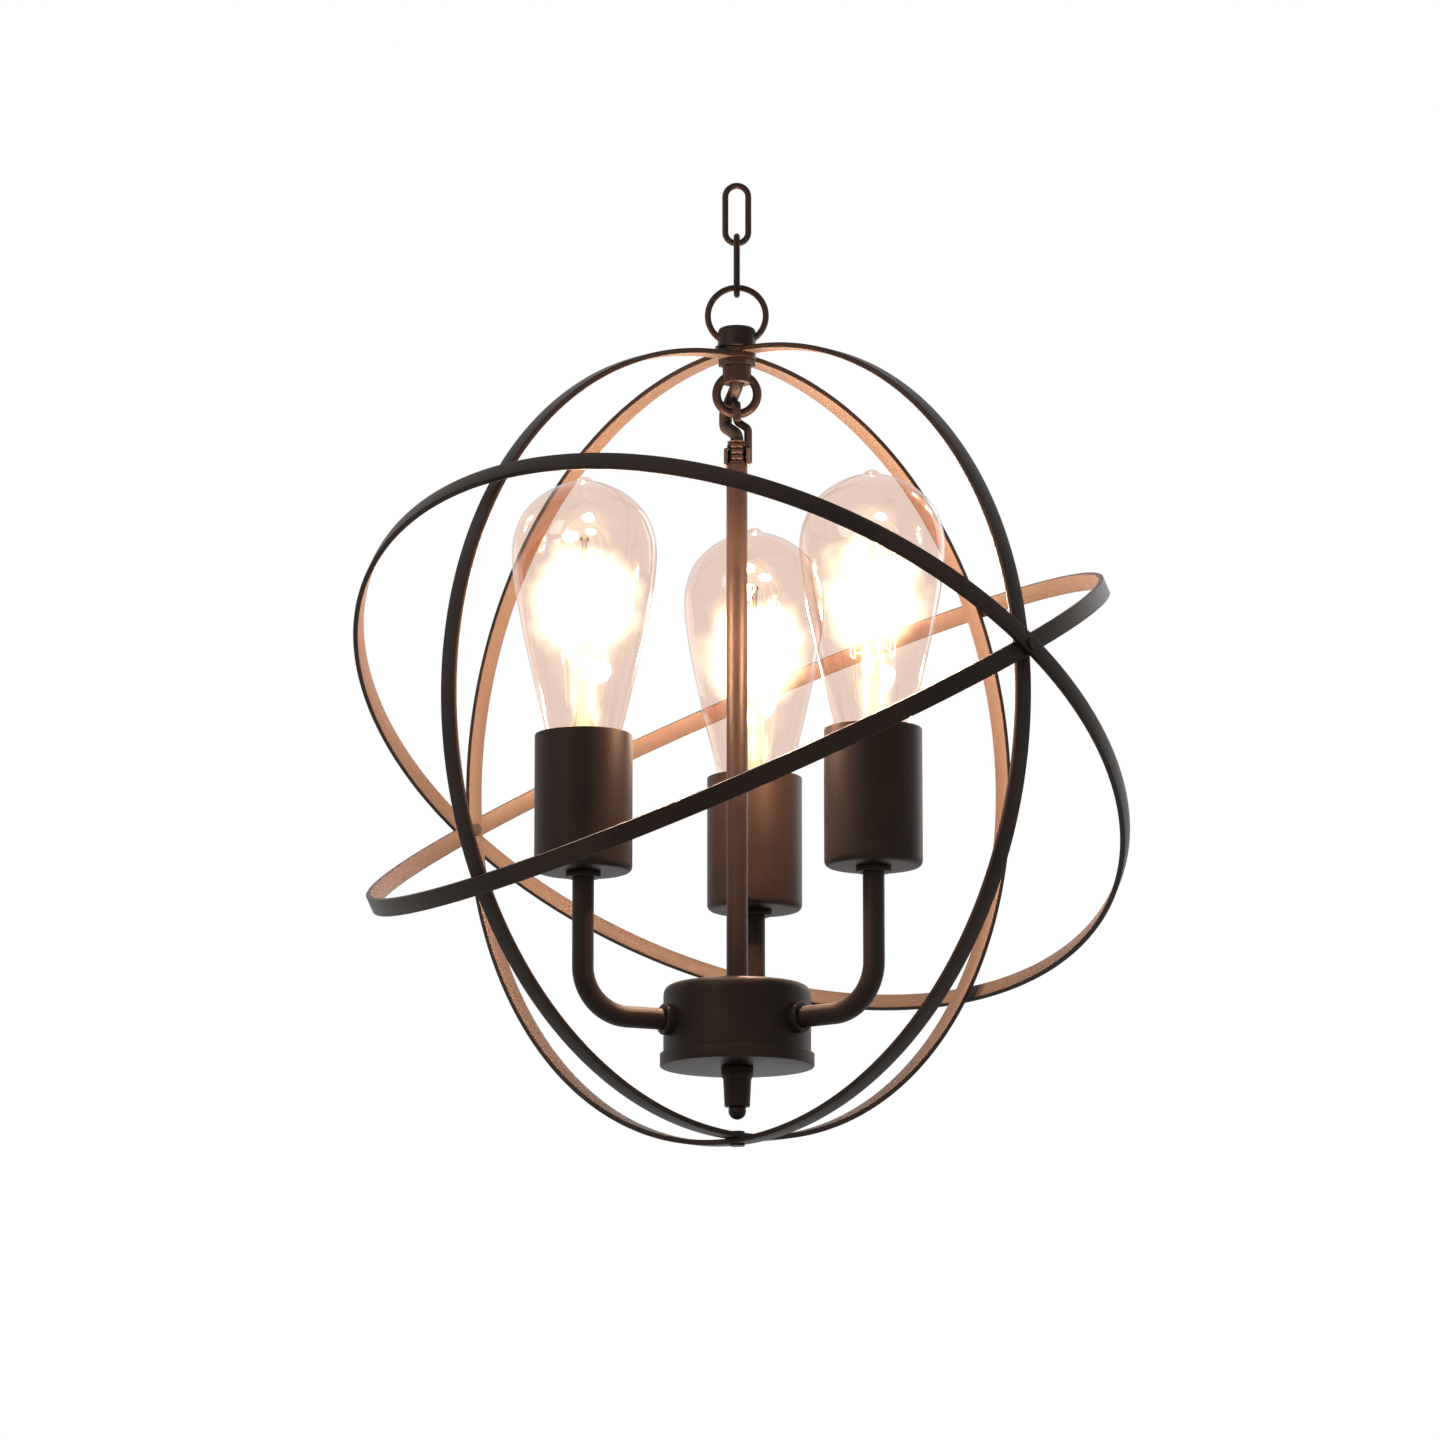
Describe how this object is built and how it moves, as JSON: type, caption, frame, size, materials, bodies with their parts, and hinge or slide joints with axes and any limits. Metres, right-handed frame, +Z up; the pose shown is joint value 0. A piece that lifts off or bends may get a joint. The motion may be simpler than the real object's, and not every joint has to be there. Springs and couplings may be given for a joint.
{
  "type": "orb chandelier",
  "caption": "Hanging cage light of flat steel bands round a cluster of upright bulb cups on curved arms, with a drum body and a ring and chain links to hang from.",
  "frame": {"origin": "bearing point at the top of the hole in the top chain link, on the light's vertical centre line", "axes": "+Z up, +Y away from the picture's viewer, +X to the viewer's right"},
  "size_m": [0.3444, 0.3444, 0.4366],
  "materials": {
    "bronze_paint": "satin dark bronze",
    "bulb_glass": "clear blown glass",
    "plated_brass": "bright",
    "lamp_nickel": "plated",
    "phenolic": "moulded",
    "bead_glass": "fused bead",
    "mount_glass": "clear",
    "filament": "glowing wire",
    "lead_sleeve": "brown sleeve"
  },
  "bodies": {
    "top_link": {"top_link": "bronze_paint"},
    "mid_link": {"mid_link": "bronze_paint"},
    "top_ring": {"top_ring": "bronze_paint"},
    "cage": {"hub_cap": "bronze_paint", "hub_nut": "bronze_paint", "hub_loop": "bronze_paint", "band_a": "bronze_paint", "band_b": "bronze_paint", "pivot_rivets": "bronze_paint", "nadir_rivet": "bronze_paint"},
    "band_c": {"band_c": "bronze_paint"},
    "band_d": {"band_d": "bronze_paint"},
    "cluster": {"stem_hook": "bronze_paint", "stem_coupling": "bronze_paint", "hub_lead": "lead_sleeve", "stem_tube": "bronze_paint", "stem_nut": "bronze_paint", "body_drum": "bronze_paint", "body_cover": "bronze_paint", "finial": "bronze_paint", "arm_bosses": "bronze_paint", "cup_seats": "bronze_paint", "holder_contacts": "plated_brass", "arm_1": "bronze_paint", "cup_1": "bronze_paint", "holder_1": "phenolic", "screw_shell_1": "plated_brass", "arm_2": "bronze_paint", "cup_2": "bronze_paint", "holder_2": "phenolic", "screw_shell_2": "plated_brass", "arm_3": "bronze_paint", "cup_3": "bronze_paint", "holder_3": "phenolic", "screw_shell_3": "plated_brass"},
    "bulb_1_contact": {"bulb_contact_1": "lamp_nickel"},
    "bulb_1": {"bulb_glass_1": "bulb_glass", "bulb_cap_1": "lamp_nickel", "bulb_bead_1": "bead_glass", "bulb_mount_1": "mount_glass", "filament_1": "filament"},
    "bulb_2_contact": {"bulb_contact_2": "lamp_nickel"},
    "bulb_2": {"bulb_glass_2": "bulb_glass", "bulb_cap_2": "lamp_nickel", "bulb_bead_2": "bead_glass", "bulb_mount_2": "mount_glass", "filament_2": "filament"},
    "bulb_3_contact": {"bulb_contact_3": "lamp_nickel"},
    "bulb_3": {"bulb_glass_3": "bulb_glass", "bulb_cap_3": "lamp_nickel", "bulb_bead_3": "bead_glass", "bulb_mount_3": "mount_glass", "filament_3": "filament"}
  },
  "joints": [
    {"name": "link_swing", "type": "hinge", "parent": "top_link", "child": "mid_link", "pos_m": [0, 0, -0.0254], "axis": [1, 0, 0], "range_deg": [-35, 35]},
    {"name": "ring_swing", "type": "hinge", "parent": "mid_link", "child": "top_ring", "pos_m": [0, 0, -0.0491], "axis": [0, 1, 0], "range_deg": [-35, 35]},
    {"name": "cage_swing", "type": "hinge", "parent": "top_ring", "child": "cage", "pos_m": [0, 0, -0.07015], "axis": [1, 0, 0], "range_deg": [-35, 35]},
    {"name": "band_c_turn", "type": "hinge", "parent": "cage", "child": "band_c", "pos_m": [0, 0, -0.2538], "axis": [0.7036, -0.7036, 0.0993], "range_deg": [-51, 115]},
    {"name": "band_d_turn", "type": "hinge", "parent": "cage", "child": "band_d", "pos_m": [0, 0, -0.2538], "axis": [0.7036, -0.7036, 0.0993], "range_deg": [-70, 14]},
    {"name": "cluster_swing", "type": "hinge", "parent": "cage", "child": "cluster", "pos_m": [0, 0, -0.1043], "axis": [1, 0, 0], "range_deg": [-9, 9], "deforming": ["hub_lead"]},
    {"name": "bulb_1_lift", "type": "slide", "parent": "cluster", "child": "bulb_1_contact", "axis": [0, 0, 1], "range_m": [0, 0.02]},
    {"name": "bulb_1_turn", "type": "hinge", "parent": "bulb_1_contact", "child": "bulb_1", "pos_m": [0.00705, 0.07316, -0.2538], "axis": [0, 0, 1], "range_deg": [0, 1980]},
    {"name": "bulb_2_lift", "type": "slide", "parent": "cluster", "child": "bulb_2_contact", "axis": [0, 0, 1], "range_m": [0, 0.02]},
    {"name": "bulb_2_turn", "type": "hinge", "parent": "bulb_2_contact", "child": "bulb_2", "pos_m": [-0.06688, -0.03048, -0.2538], "axis": [0, 0, 1], "range_deg": [0, 1980]},
    {"name": "bulb_3_lift", "type": "slide", "parent": "cluster", "child": "bulb_3_contact", "axis": [0, 0, 1], "range_m": [0, 0.02]},
    {"name": "bulb_3_turn", "type": "hinge", "parent": "bulb_3_contact", "child": "bulb_3", "pos_m": [0.05984, -0.04268, -0.2538], "axis": [0, 0, 1], "range_deg": [0, 1980]}
  ],
  "couplings": [
    {"joint": "bulb_1_lift", "follows": "bulb_1_turn", "m_per_rad": 0.00057757},
    {"joint": "bulb_2_lift", "follows": "bulb_2_turn", "m_per_rad": 0.00057757},
    {"joint": "bulb_3_lift", "follows": "bulb_3_turn", "m_per_rad": 0.00057757}
  ]
}
